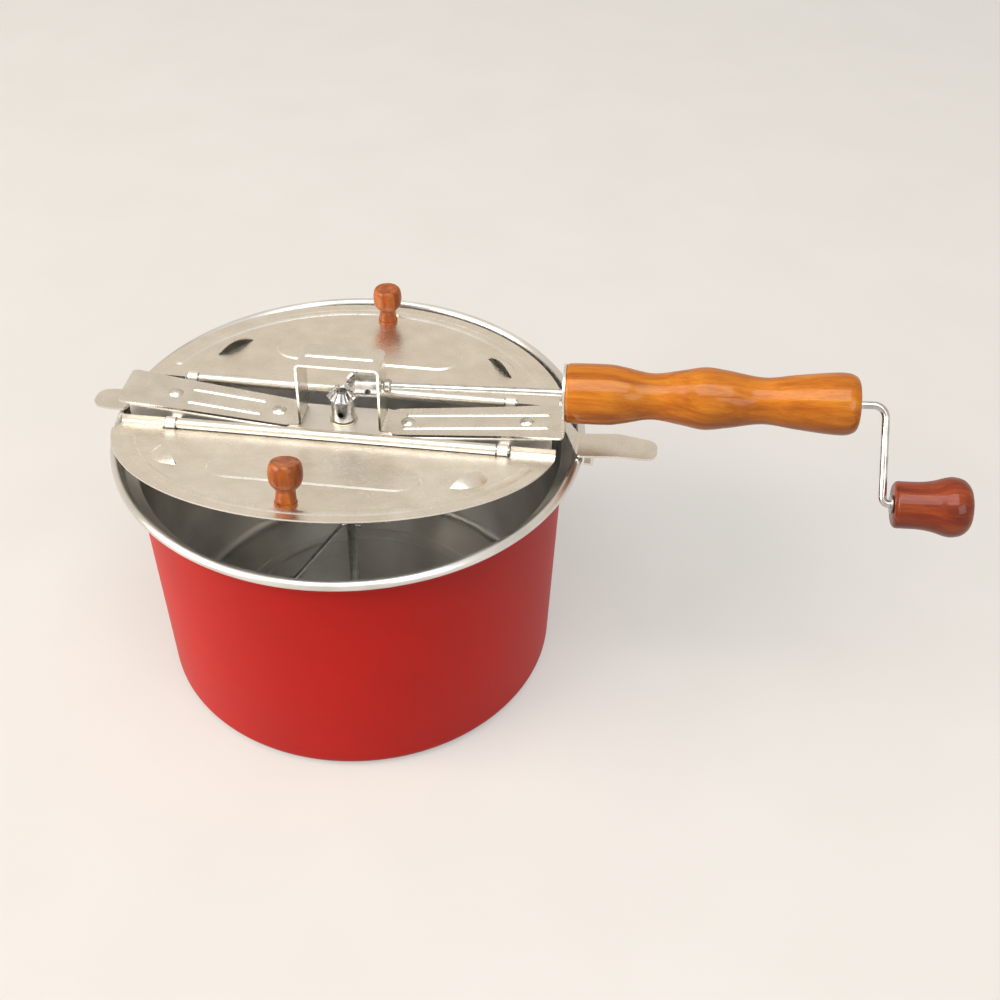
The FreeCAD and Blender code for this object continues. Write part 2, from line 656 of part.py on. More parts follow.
def tooth_wire(scale):
    """Outline of one tooth on the back cone, shrunk towards the gears' common point."""
    angle = radians(cone)
    virtual_r = pitch_r / cos(angle)
    base_r = virtual_r * cos(radians(tooth_angle))
    half_thick = pi * gear_module / 4.0 - backlash / 2.0

    def involute(a):
        return tan(a) - a

    def half_angle(radius):
        press = acos(min(1.0, base_r / radius))
        return half_thick / virtual_r + involute(radians(tooth_angle)) - involute(press)

    def point(radius, turn):
        up = radius * cos(turn) - virtual_r
        flank = V(pitch_r + up * cos(angle), radius * sin(turn), -pitch_r / tan(angle) + up * sin(angle))
        return flank * scale

    tip_r = virtual_r + addendum * gear_module
    root_r = virtual_r - (dedendum + 0.35) * gear_module
    middle_r = virtual_r + 0.1 * gear_module
    low_r = max(base_r, virtual_r - dedendum * gear_module)
    marks = [(root_r, half_angle(low_r)), (low_r, half_angle(low_r)), (middle_r, half_angle(middle_r)),
             (tip_r, half_angle(tip_r))]
    right = [point(r, -a) for r, a in marks]
    left = [point(r, a) for r, a in marks]
    edges = [Part.makeLine(right[0], right[1]), Part.Arc(right[1], right[2], right[3]).toShape(),
             Part.makeLine(right[3], left[3]), Part.Arc(left[3], left[2], left[1]).toShape(),
             Part.makeLine(left[1], left[0]), Part.makeLine(left[0], right[0])]
    return Part.Wire(edges)


def bevel_gear(end, bore_r, phase):
    """Straight bevel gear with a plain hub: common point at the origin, hub down to Z = -end."""
    angle = radians(cone)
    cone_len = pitch_r / sin(angle)
    shrink = (cone_len - tooth_face) / cone_len
    root = dedendum * gear_module
    root_at = (pitch_r - root * cos(angle), -pitch_r / tan(angle) - root * sin(angle))
    body = turned([(0, root_at[1] * shrink), (root_at[0] * shrink, root_at[1] * shrink), root_at,
                   (gear_hub_r, root_at[1] - 0.6), (gear_hub_r, -end), (0, -end)], [0, 0, 0, 0, 0.5, 0])
    tooth = Part.makeLoft([tooth_wire(1.0), tooth_wire(shrink)], True, True)
    teeth = []
    for i in range(gear_teeth):
        copy = tooth.copy()
        copy.rotate(V(0, 0, 0), V(0, 0, 1), phase + i * 360.0 / gear_teeth)
        teeth.append(copy)
    gear = body.multiFuse(teeth)
    gear = gear.cut(Part.makeCylinder(bore_r, end + 10, V(0, 0, -end - 5)))
    return gear.cut(screw_hole(end))


def screw_hole(end):
    """Cross hole for the set screw, from the hub's front."""
    level = -(end + pitch_r) / 2.0 - 1.2
    return Part.makeCylinder(set_screw_r + seat_gap, gear_hub_r + 2, V(0, 0, level), V(0, -1, 0))


def set_screw(end, bore_r):
    """Slotted set screw in the gear's hub."""
    level = -(end + pitch_r) / 2.0 - 1.2
    start = bore_r + seat_gap
    screw = Part.makeCylinder(set_screw_r, gear_hub_r - start + 0.3, V(0, -start, level), V(0, -1, 0))
    slot = box(-set_screw_r, set_screw_r, -gear_hub_r - 1, -gear_hub_r + 0.5, level - 0.35, level + 0.35)
    return screw.cut(slot)


def crank_rod():
    """Bent rod: through the bracket and handle, down the crank arm and into the grip."""
    corners = [(on_crank(3.6), 0), (on_crank(arm_at), crank_bend_r), (on_crank(arm_at, arm_len), grip_bend_r),
               (on_crank(grip_at + grip_len - 7, arm_len), 0)]
    return bent_rod(rod_r, corners)


def crank_grip():
    """Turned grip that spins on the end of the rod."""
    end = grip_len
    waist, swell = grip_waist_r, grip_swell_r
    points = [(grip_face_r, 0.0), (waist - 0.1, 1.2), (waist, 0.12 * end), (waist + 0.1, 0.33 * end),
              (waist + 1.0, 0.5 * end), (swell - 0.4, 0.66 * end), (swell, 0.76 * end),
              (swell - 1.1, 0.88 * end), (swell - 4.1, 0.965 * end), (grip_tip_r, end)]
    body = turned_spline(points)
    body = body.cut(Part.makeCylinder(rod_r + crank_gap, end - 6.6, V(0, 0, -0.1)))
    frame = crank_frame(grip_at)
    frame.Base = on_crank(grip_at, arm_len)
    return placed(body, frame)


def rod_ring(start, length, radius, down=0.0):
    """A ring fixed on the crank rod."""
    ring = turned([(rod_r + seat_gap, 0), (radius, 0), (radius, length), (rod_r + seat_gap, length)],
                  [0, 0.3 * length, 0.3 * length, 0])
    frame = crank_frame(start)
    frame.Base = on_crank(start, down)
    return placed(ring, frame)


def stir_wire(points, bend):
    """A stirring wire through the shaft, from points out from the shaft's axis and up."""
    corners = [(V(frame_x + x, 0, z), bend) for x, z in points]
    return bent_rod(stir_wire_r, corners)


def lever_plan(back, neck_x, wide_x, tip_x, middles, w):
    """Top view of a clip: a narrow blade that widens into a thumb lever with a rounded tip."""
    root, crest, tip = middles
    belly = wide_x + (tip_x - wide_x) * 0.5
    plan = [(back, clip_half_w, clip_half_w - 0.5), (neck_x, clip_half_w, 3), (wide_x, root + w, 4),
            (belly, crest + w, 14), (tip_x, tip + w - 2.0, 6), (tip_x, tip - w + 1.5, 6),
            (belly, crest - w, 14), (wide_x, root - w, 4), (neck_x, -clip_half_w, 3),
            (back, -clip_half_w, clip_half_w - 0.5)]
    return rounded_face([(V(x, y, bar_low_z - 10), c) for x, y, c in plan])


def clip(side, lever_len, middles, half_w):
    """Swinging clip: a blade under the cross bar, a lever over the rim and a hook below the rim."""
    blade_low = arm_z(side * pivot_x - frame_x) - (sheet + side_gap) / cos(radians(arm_slope)) - sheet
    lever_low = pan_height + lever_rise
    drop_from = rim_r - clip_drop_in
    drop_to = rim_r - clip_drop_out
    back = pivot_x - clip_half_w - 3.5
    tip = pivot_x + lever_len
    points = [(back, blade_low + (back - pivot_x) * slope),
              (drop_from, blade_low + (drop_from - pivot_x) * slope),
              (drop_to, lever_low), (tip + 6, lever_low)]
    profile = folded(points, [0, bend_r, bend_r, 0], sheet, lambda a, b: V(a, -40, b))
    ribbon = Part.Face(rounded_wire(profile)).extrude(V(0, 80, 0))
    plan = lever_plan(back, drop_from + 0.5, drop_to + 1, tip, middles, half_w)
    blade = ribbon.common(plan.extrude(V(0, 0, bridge_top_z - bar_low_z)))
    root = skirt_r + sheet
    hook_low = pan_height - 2 * bead_r - lip_gap - sheet
    ring = turned([(skirt_r, hook_low), (root, hook_low), (root, lever_low + 0.1), (skirt_r, lever_low + 0.1)])
    lip = turned([(lip_r, hook_low), (root, hook_low), (root, hook_low + sheet), (lip_r, hook_low + sheet)])
    a, b = radians(skirt_from), radians(skirt_to)
    far = 2 * root
    sector = [V(0, 0, 0), V(far * cos(a), -far * sin(a), 0), V(far * cos(b), -far * sin(b), 0), V(0, 0, 0)]
    wedge = Part.Face(Part.makePolygon(sector)).extrude(V(0, 0, 2 * pan_height))
    shape = blade.fuse(ring.fuse(lip).common(wedge))
    if side < 0:
        shape.rotate(V(0, 0, 0), V(0, 0, 1), 180)
    hole = Part.makeCylinder(rivet_r + run_gap, 16, V(0, 0, -12))
    return shape.cut(placed(hole, arm_frame(side * pivot_x - frame_x))).removeSplitter()


def build():
    """Make and write every node."""
    save(pan(), "pan_body")
    save(cross_bar(), "cross_bar")
    save(gear_bracket(), "gear_bracket")
    places = rivet_places()
    save(rivet_set(places[1:3], 2 * sheet), "bracket_rivets")
    save(rivet_set(places[::3], 3 * sheet + 2 * side_gap), "clip_rivets")
    save(shaft_bush(), "shaft_bush")
    save(hinge_wire(-1), "front_hinge_wire")
    save(hinge_wire(1), "rear_hinge_wire")
    save(handle(), "wood_handle")
    save(handle_screws(), "handle_screws")
    leaf, knob, screw = leaf_panel(), leaf_knob(), knob_screw()
    for name, front in (("front", True), ("rear", False)):
        place = leaf_place(front)
        save(placed(leaf, place), name + "_lid_leaf")
        save(placed(knob, place), name + "_lid_knob")
        save(placed(screw, place), name + "_knob_screw")

    upright_end = apex_z - bar_top_z - bush_flange_t - side_gap
    upright = bevel_gear(upright_end, shaft_r + seat_gap, 180.0 / gear_teeth)
    upright_screw = set_screw(upright_end, shaft_r)
    save(placed(upright, FreeCAD.Placement(apex, FreeCAD.Rotation())), "stirrer_gear")
    save(placed(upright_screw, FreeCAD.Placement(apex, FreeCAD.Rotation())), "stirrer_gear_screw")
    crank_end = bridge_half / cos(tilt) - side_gap - gear_hub_r * tan(tilt)
    lay = FreeCAD.Placement(apex, FreeCAD.Rotation(V(0, 1, 0), -90.0 - crank_tilt))
    save(placed(bevel_gear(crank_end, rod_r + seat_gap, 0.0), lay), "crank_gear")
    save(placed(set_screw(crank_end, rod_r), lay), "crank_gear_screw")
    save(crank_rod(), "crank_rod")
    wall_out = (bridge_half + sheet) / cos(tilt) + side_gap + 3.4 * tan(tilt)
    save(rod_ring(wall_out, 4.0, 3.4), "rod_collar")
    save(rod_ring(grip_at - side_gap - 1.2, 1.2, 4.6, arm_len), "grip_washer")
    save(crank_grip(), "crank_grip")

    shaft_top = apex_z - pitch_r - 0.6
    shaft = rod(shaft_r, V(frame_x, 0, shaft_foot_z), V(frame_x, 0, shaft_top))
    floor_z = pan_wall + groove_depth
    sweep_z = floor_z + stir_wire_r + 3.2
    foot = [(-shaft_r - 3.0, sweep_z), (stir_reach * 0.45, sweep_z), (stir_reach * 0.6, sweep_z + 7),
            (stir_reach * 0.78, sweep_z), (stir_reach, sweep_z), (stir_reach + 4, sweep_z + stir_end_h)]
    brace = [(shaft_r + 2.6, brace_z), (-shaft_r - 2, brace_z), (-brace_reach * 0.55, brace_z * 0.42),
             (-brace_reach, sweep_z + 4.2), (-brace_reach * 0.35, sweep_z + 4.2)]
    long_wire = stir_wire(foot, 5.0)
    brace_wire = stir_wire(brace, 4.0)
    save(shaft.cut(long_wire).cut(brace_wire), "stirrer_shaft")
    save(long_wire, "sweep_wire")
    save(brace_wire, "brace_wire")
    keeper_top = bar_top_z - bush_drop - side_gap
    keeper = turned([(shaft_r + seat_gap, keeper_top - 1.6), (5.2, keeper_top - 1.6), (5.2, keeper_top),
                     (shaft_r + seat_gap, keeper_top)], [0, 0.4, 0.4, 0])
    keeper.translate(shaft_at)
    save(keeper, "shaft_keeper")
    lever_middles = (lever_y, lever_crest_y, lever_tip_y)
    save(clip(1, clip_lever_len, lever_middles, lever_half_w), "handle_side_clip")
    save(clip(-1, clip_tab_len, (tab_y, tab_y, tab_y), tab_half_w), "far_side_clip")


build()
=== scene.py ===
import logging
import math
from collections.abc import Sequence
from dataclasses import dataclass
from enum import Enum

import bmesh
import bpy
from mathutils import Matrix, Vector


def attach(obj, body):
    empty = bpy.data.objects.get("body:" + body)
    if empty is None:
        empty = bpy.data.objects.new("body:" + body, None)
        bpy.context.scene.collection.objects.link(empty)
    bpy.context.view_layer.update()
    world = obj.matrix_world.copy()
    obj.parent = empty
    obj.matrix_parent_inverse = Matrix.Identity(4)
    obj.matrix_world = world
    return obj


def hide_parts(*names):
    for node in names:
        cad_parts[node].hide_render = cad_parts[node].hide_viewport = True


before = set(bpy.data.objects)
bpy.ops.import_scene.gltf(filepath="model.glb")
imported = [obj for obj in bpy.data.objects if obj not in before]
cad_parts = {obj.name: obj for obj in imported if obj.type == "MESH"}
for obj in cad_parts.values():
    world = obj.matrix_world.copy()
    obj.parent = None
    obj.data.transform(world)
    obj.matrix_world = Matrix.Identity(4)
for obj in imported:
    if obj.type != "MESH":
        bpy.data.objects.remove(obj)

log = logging.getLogger("popper")
MM = 0.001
TURNED_CREASE = 50.0
SHEET_CREASE = 30.0
Point = tuple[float, float]
Profile = list[Point]


# Small helpers


def linear(hexcode: str) -> tuple[float, float, float, float]:
    """Turn an sRGB hex colour into the linear colour that shaders use.

    Args:
        hexcode: Six hex digits, such as "C8261C".

    Returns:
        Linear red, green and blue, and an alpha of one.
    """
    parts = [int(hexcode[i:i + 2], 16) / 255.0 for i in (0, 2, 4)]
    red, green, blue = [c / 12.92 if c <= 0.04045 else ((c + 0.055) / 1.055) ** 2.4 for c in parts]
    return (red, green, blue, 1.0)


def spline(points: Sequence[Point], steps: int) -> Profile:
    """Run a smooth curve through points.

    Args:
        points: Radius and height pairs in millimetres.
        steps: Short runs between each pair of points.

    Returns:
        The points of the smooth curve.
    """
    padded = [points[0], *points, points[-1]]
    out: Profile = []
    for i in range(1, len(padded) - 2):
        p0, p1, p2, p3 = padded[i - 1:i + 3]
        for k in range(steps):
            t = k / steps
            weights = ((-t + 2 * t * t - t ** 3) / 2, (2 - 5 * t * t + 3 * t ** 3) / 2,
                       (t + 4 * t * t - 3 * t ** 3) / 2, (-t * t + t ** 3) / 2)
            out.append(tuple(sum(w * p[a] for w, p in zip(weights, (p0, p1, p2, p3))) for a in (0, 1)))
    out.append(points[-1])
    return out


def rounded(points: Sequence[Point], radii: Sequence[float], arc_step: float) -> Profile:
    """Round the corners of a run of straight lines.

    Args:
        points: Radius and height of each corner, in millimetres.
        radii: One radius for each corner, zero for a sharp one.
        arc_step: Largest turn between two points of an arc, in degrees.

    Returns:
        The points of the rounded run.
    """
    corners = [Vector(p) for p in points]
    out: Profile = []
    for i, (corner, radius) in enumerate(zip(corners, radii)):
        if radius <= 0:
            out.append(tuple(corner))
            continue
        back = (corners[i - 1] - corner).normalized()
        ahead = (corners[i + 1] - corner).normalized()
        half = math.acos(max(-1.0, min(1.0, back.dot(ahead)))) / 2.0
        if half > math.pi / 2 - 1e-4:
            out.append(tuple(corner))
            continue
        cut = radius / math.tan(half)
        middle = corner + (back + ahead).normalized() * (radius / math.sin(half))
        first, last = corner + back * cut - middle, corner + ahead * cut - middle
        turn = math.pi - 2.0 * half
        steps = max(2, math.ceil(math.degrees(turn) / arc_step))
        for k in range(steps + 1):
            a, b = math.sin(turn * (1 - k / steps)), math.sin(turn * k / steps)
            out.append(tuple(middle + (first * a + last * b) / math.sin(turn)))
    return out


def piece(name: str, verts: Sequence[Sequence[float]], faces: Sequence[Sequence[int]],
          place: Matrix | None = None, flat: bool = False) -> bpy.types.Object:
    """Make an object from points in millimetres.

    Args:
        name: The object's name.
        verts: Points in millimetres.
        faces: Corner indices of each face.
        place: Where the points go, in millimetres, or None where they already are in the frame.
        flat: Whether faces stay flat-shaded.

    Returns:
        The new object, with its place in its mesh.
    """
    place = place or Matrix.Identity(4)
    mesh = bpy.data.meshes.new(name)
    mesh.from_pydata([(place @ Vector(v)) * MM for v in verts], [], [list(f) for f in faces])
    mesh.validate()
    obj = bpy.data.objects.new(name, mesh)
    bpy.context.scene.collection.objects.link(obj)
    work = bmesh.new()
    work.from_mesh(mesh)
    bmesh.ops.recalc_face_normals(work, faces=work.faces)
    work.to_mesh(mesh)
    work.free()
    mesh.polygons.foreach_set("use_smooth", [not flat] * len(mesh.polygons))
    return obj


def crease(obj: bpy.types.Object, degrees: float) -> bpy.types.Object:
    """Keep edges sharper than an angle crisp while the rest stays smooth."""
    obj.data.set_sharp_from_angle(angle=math.radians(degrees))
    return obj


def lathe(profile: Sequence[Point], segments: int) -> tuple[list[Vector], list[tuple[int, ...]]]:
    """Turn a profile round the Z axis.

    Args:
        profile: Radius and height pairs; a radius of zero closes the end.
        segments: Steps round the axis.

    Returns:
        Points and faces.
    """
    verts: list[Vector] = []
    rings: list[list[int]] = []
    for radius, height in profile:
        if radius < 1e-6:
            rings.append([len(verts)] * segments)
            verts.append(Vector((0, 0, height)))
            continue
        rings.append(list(range(len(verts), len(verts) + segments)))
        for k in range(segments):
            a = 2 * math.pi * k / segments
            verts.append(Vector((radius * math.cos(a), radius * math.sin(a), height)))
    faces = []
    for low, high in zip(rings, rings[1:]):
        for k in range(segments):
            m = (k + 1) % segments
            corner = dict.fromkeys((low[k], low[m], high[m], high[k]))
            if len(corner) > 2:
                faces.append(tuple(corner))
    return verts, faces


def add_node(tree: bpy.types.NodeTree, kind: str, inputs: dict[str | int, object] | None = None,
             **settings: object) -> bpy.types.Node:
    """Add a node with its settings, values and links.

    Args:
        tree: The node tree.
        kind: The node's type, without its "ShaderNode" prefix.
        inputs: Value or linked socket for each input name or number.
        **settings: Properties of the node.

    Returns:
        The new node.
    """
    made = tree.nodes.new("ShaderNode" + kind)
    for key, value in settings.items():
        setattr(made, key, value)
    for key, value in (inputs or {}).items():
        socket = made.inputs[key]
        if isinstance(value, bpy.types.NodeSocket):
            tree.links.new(value, socket)
        else:
            socket.default_value = value
    return made


def ramp(tree: bpy.types.NodeTree, factor: bpy.types.NodeSocket,
         stops: Sequence[tuple[float, tuple[float, ...]]]) -> bpy.types.NodeSocket:
    """Map a factor to colours.

    Args:
        tree: The node tree.
        factor: The socket that drives the ramp.
        stops: Position and linear colour of each stop.

    Returns:
        The colour socket.
    """
    made = add_node(tree, "ValToRGB", {"Fac": factor})
    elements = made.color_ramp.elements
    while len(elements) < len(stops):
        elements.new(0.5)
    for element, (position, colour) in zip(elements, stops):
        element.position = position
        element.color = colour
    return made.outputs["Color"]


def grey(value: float) -> tuple[float, float, float, float]:
    """A linear grey."""
    return (value, value, value, 1.0)


# Finishes


class Grain(Enum):
    """Direction that a finish's lines run in, along the object's own axes."""

    ALONG_X = (1.0, 14.0, 14.0)
    ALONG_Z = (14.0, 14.0, 1.0)


@dataclass(frozen=True)
class BakedEnamel:
    """Baked satin enamel sprayed on a spun pan. It gives the eye one deep even red with a soft,
    wide highlight and, close to, the faint ripple of sprayed paint."""

    name: str = "baked_satin_enamel"
    colour: str = "CC1A12"
    shade: str = "BC150E"
    cloud_mm: float = 90.0
    ripple_mm: float = 1.1
    dust_mm: float = 0.35
    roughness: float = 0.5

    def build(self) -> bpy.types.Material:
        """Make the material."""
        material = bpy.data.materials.new(self.name)
        material.use_nodes = True
        tree = material.node_tree
        shader = tree.nodes["Principled BSDF"]
        where = add_node(tree, "TexCoord").outputs["Object"]
        cloud = add_node(tree, "TexNoise", {"Vector": where, "Scale": 1 / (self.cloud_mm * MM),
                                            "Detail": 3.0})
        tint = ramp(tree, cloud.outputs["Fac"], [(0.35, linear(self.shade)), (0.65, linear(self.colour))])
        tree.links.new(tint, shader.inputs["Base Color"])
        peel = add_node(tree, "TexNoise", {"Vector": where, "Scale": 1 / (self.ripple_mm * MM),
                                           "Detail": 2.0})
        dust = add_node(tree, "TexNoise", {"Vector": where, "Scale": 1 / (self.dust_mm * MM), "Detail": 1.0})
        both = add_node(tree, "Math", {0: peel.outputs["Fac"], 1: dust.outputs["Fac"]}, operation="ADD")
        bump = add_node(tree, "Bump", {"Height": both.outputs[0], "Strength": 0.25, "Distance": 0.02 * MM})
        tree.links.new(bump.outputs["Normal"], shader.inputs["Normal"])
        rough = add_node(tree, "MapRange", {"Value": cloud.outputs["Fac"], "To Min": self.roughness - 0.04,
                                            "To Max": self.roughness + 0.05})
        tree.links.new(rough.outputs["Result"], shader.inputs["Roughness"])
        shader.inputs["IOR"].default_value = 1.5
        shader.inputs["Specular IOR Level"].default_value = 0.32
        return material


@dataclass(frozen=True)
class SpunAluminium:
    """Bare aluminium spun over a former. The tool leaves fine rings round the axis, and they draw
    the reflections out into tall soft streaks. The real rings are about 0.2 mm apart and are drawn
    coarser, so that they show."""

    name: str = "spun_aluminium"
    colour: str = "E6E5E2"
    dark: str = "D2D1CE"
    ring_mm: float = 0.7
    smear_mm: float = 35.0
    roughness: float = 0.3
    stretch: float = 0.75

    def build(self) -> bpy.types.Material:
        """Make the material."""
        material = bpy.data.materials.new(self.name)
        material.use_nodes = True
        tree = material.node_tree
        shader = tree.nodes["Principled BSDF"]
        where = add_node(tree, "TexCoord").outputs["Object"]
        split = add_node(tree, "SeparateXYZ", {"Vector": where})
        level = add_node(tree, "CombineXYZ", {"X": split.outputs["X"], "Y": split.outputs["Y"]})
        radius = add_node(tree, "VectorMath", {0: level.outputs[0]}, operation="LENGTH")
        flat = add_node(tree, "CombineXYZ", {"X": radius.outputs["Value"], "Y": split.outputs["Z"]})
        rings = add_node(tree, "TexNoise", {"Vector": flat.outputs[0], "Scale": 1 / (self.ring_mm * MM),
                                            "Detail": 3.0, "Roughness": 0.65})
        smear = add_node(tree, "TexNoise", {"Vector": where, "Scale": 1 / (self.smear_mm * MM),
                                            "Detail": 3.0})
        tint = ramp(tree, smear.outputs["Fac"], [(0.35, linear(self.dark)), (0.6, linear(self.colour))])
        tree.links.new(tint, shader.inputs["Base Color"])
        rough = add_node(tree, "MapRange", {"Value": smear.outputs["Fac"], "To Min": self.roughness - 0.05,
                                            "To Max": self.roughness + 0.09})
        tree.links.new(rough.outputs["Result"], shader.inputs["Roughness"])
        bump = add_node(tree, "Bump", {"Height": rings.outputs["Fac"], "Strength": 0.3,
                                       "Distance": 0.02 * MM})
        tree.links.new(bump.outputs["Normal"], shader.inputs["Normal"])
        around = add_node(tree, "Tangent", direction_type="RADIAL", axis="Z")
        tree.links.new(around.outputs["Tangent"], shader.inputs["Tangent"])
        shader.inputs["Anisotropic"].default_value = self.stretch
        shader.inputs["Anisotropic Rotation"].default_value = 0.25
        shader.inputs["Metallic"].default_value = 1.0
        return material


@dataclass(frozen=True)
class BrightSheet:
    """Thin bright sheet, rolled and then pressed. It gives the eye a pale warm mirror that
    wavers: the press leaves shallow waves, the rolls leave faint lines, and the plating has a
    fine crystal grain."""

    name: str
    colour: str = "EAE5DC"
    dark: str = "DED8CD"
    lines: Grain = Grain.ALONG_X
    roughness: float = 0.27
    wave_mm: float = 34.0
    wave_depth_mm: float = 0.06
    blot_mm: float = 12.0
    roll_mm: float = 8.0
    grain_mm: float = 1.6

    def build(self) -> bpy.types.Material:
        """Make the material."""
        material = bpy.data.materials.new(self.name)
        material.use_nodes = True
        tree = material.node_tree
        shader = tree.nodes["Principled BSDF"]
        where = add_node(tree, "TexCoord").outputs["Object"]
        stretched = add_node(tree, "Mapping", {"Vector": where, "Scale": self.lines.value})
        rolls = add_node(tree, "TexNoise", {"Vector": stretched.outputs[0], "Scale": 1 / (self.roll_mm * MM),
                                            "Detail": 4.0, "Roughness": 0.7})
        crystal = add_node(tree, "TexVoronoi", {"Vector": where, "Scale": 1 / (self.grain_mm * MM)},
                           feature="F1")
        wave = add_node(tree, "TexNoise", {"Vector": where, "Scale": 1 / (self.wave_mm * MM), "Detail": 1.0})
        blot = add_node(tree, "TexNoise", {"Vector": where, "Scale": 1 / (self.blot_mm * MM), "Detail": 4.0})
        tint = ramp(tree, blot.outputs["Fac"], [(0.3, linear(self.dark)), (0.7, linear(self.colour))])
        tree.links.new(tint, shader.inputs["Base Color"])
        mixed = add_node(tree, "Math", {0: crystal.outputs["Color"], 1: 0.3, 2: rolls.outputs["Fac"]},
                         operation="MULTIPLY_ADD")
        rough = add_node(tree, "MapRange", {"Value": mixed.outputs[0], "From Min": 0.3, "From Max": 0.9,
                                            "To Min": self.roughness - 0.05, "To Max": self.roughness + 0.1})
        tree.links.new(rough.outputs["Result"], shader.inputs["Roughness"])
        press = add_node(tree, "Bump", {"Height": wave.outputs["Fac"], "Strength": 0.6,
                                        "Distance": self.wave_depth_mm * MM})
        fine = add_node(tree, "Bump", {"Height": mixed.outputs[0], "Strength": 0.12, "Distance": 0.02 * MM,
                                       "Normal": press.outputs["Normal"]})
        tree.links.new(fine.outputs["Normal"], shader.inputs["Normal"])
        shader.inputs["Metallic"].default_value = 1.0
        return material


@dataclass(frozen=True)
class PlatedMetal:
    """Bright plated or drawn metal. It gives a clear reflection, with hairlines along the draw and
    a slightly dulled skin where hands and tools touch it."""

    name: str
    colour: str = "D2D2D0"
    dark: str = "B2B1AE"
    lines: Grain = Grain.ALONG_X
    roughness: float = 0.13
    line_mm: float = 3.0
    dull_mm: float = 5.0
    depth_mm: float = 0.01

    def build(self) -> bpy.types.Material:
        """Make the material."""
        material = bpy.data.materials.new(self.name)
        material.use_nodes = True
        tree = material.node_tree
        shader = tree.nodes["Principled BSDF"]
        where = add_node(tree, "TexCoord").outputs["Object"]
        stretched = add_node(tree, "Mapping", {"Vector": where, "Scale": self.lines.value})
        hair = add_node(tree, "TexNoise", {"Vector": stretched.outputs[0], "Scale": 1 / (self.line_mm * MM),
                                           "Detail": 4.0, "Roughness": 0.7})
        dull = add_node(tree, "TexNoise", {"Vector": where, "Scale": 1 / (self.dull_mm * MM), "Detail": 4.0})
        tint = ramp(tree, dull.outputs["Fac"], [(0.35, linear(self.dark)), (0.6, linear(self.colour))])
        tree.links.new(tint, shader.inputs["Base Color"])
        rough = add_node(tree, "MapRange", {"Value": dull.outputs["Fac"], "From Min": 0.3, "From Max": 0.7,
                                            "To Min": self.roughness - 0.04, "To Max": self.roughness + 0.12})
        tree.links.new(rough.outputs["Result"], shader.inputs["Roughness"])
        bump = add_node(tree, "Bump", {"Height": hair.outputs["Fac"], "Strength": 0.25,
                                       "Distance": self.depth_mm * MM})
        tree.links.new(bump.outputs["Normal"], shader.inputs["Normal"])
        shader.inputs["Metallic"].default_value = 1.0
        return material


@dataclass(frozen=True)
class VarnishedWood:
    """Turned beech, stained and dipped in clear varnish. The grain shows as darker streaks along
    the wood under a thick glossy skin with sharp highlights."""

    name: str
    light: str
    middle: str
    deep: str
    lines: Grain = Grain.ALONG_X
    streak_mm: float = 75.0
    fleck_mm: float = 9.0
    stain_mm: float = 28.0

    def build(self) -> bpy.types.Material:
        """Make the material."""
        material = bpy.data.materials.new(self.name)
        material.use_nodes = True
        tree = material.node_tree
        shader = tree.nodes["Principled BSDF"]
        where = add_node(tree, "TexCoord").outputs["Object"]
        along = add_node(tree, "Mapping", {"Vector": where, "Scale": self.lines.value})
        streak = add_node(tree, "TexNoise", {"Vector": along.outputs[0], "Scale": 1 / (self.streak_mm * MM),
                                             "Detail": 5.0, "Roughness": 0.6, "Distortion": 0.6})
        fleck = add_node(tree, "TexNoise", {"Vector": along.outputs[0], "Scale": 1 / (self.fleck_mm * MM),
                                            "Detail": 3.0, "Roughness": 0.7})
        stain = add_node(tree, "TexNoise", {"Vector": where, "Scale": 1 / (self.stain_mm * MM),
                                            "Detail": 2.0})
        base = ramp(tree, streak.outputs["Fac"], [(0.3, linear(self.deep)), (0.5, linear(self.middle)),
                                                  (0.7, linear(self.light))])
        marks = ramp(tree, fleck.outputs["Fac"], [(0.36, grey(0.75)), (0.5, grey(1.0))])
        flecked = add_node(tree, "Mix", {0: 0.7, 6: base, 7: marks}, data_type="RGBA", blend_type="MULTIPLY")
        cloud = ramp(tree, stain.outputs["Fac"], [(0.3, grey(0.78)), (0.65, grey(1.0))])
        stained = add_node(tree, "Mix", {0: 0.8, 6: flecked.outputs[2], 7: cloud}, data_type="RGBA",
                           blend_type="MULTIPLY")
        tree.links.new(stained.outputs[2], shader.inputs["Base Color"])
        bump = add_node(tree, "Bump", {"Height": fleck.outputs["Fac"], "Strength": 0.1,
                                       "Distance": 0.03 * MM})
        tree.links.new(bump.outputs["Normal"], shader.inputs["Normal"])
        shader.inputs["Roughness"].default_value = 0.5
        shader.inputs["Specular IOR Level"].default_value = 0.1
        shader.inputs["IOR"].default_value = 1.5
        shader.inputs["Coat Weight"].default_value = 0.55
        shader.inputs["Coat Roughness"].default_value = 0.1
        shader.inputs["Coat IOR"].default_value = 1.5
        return material


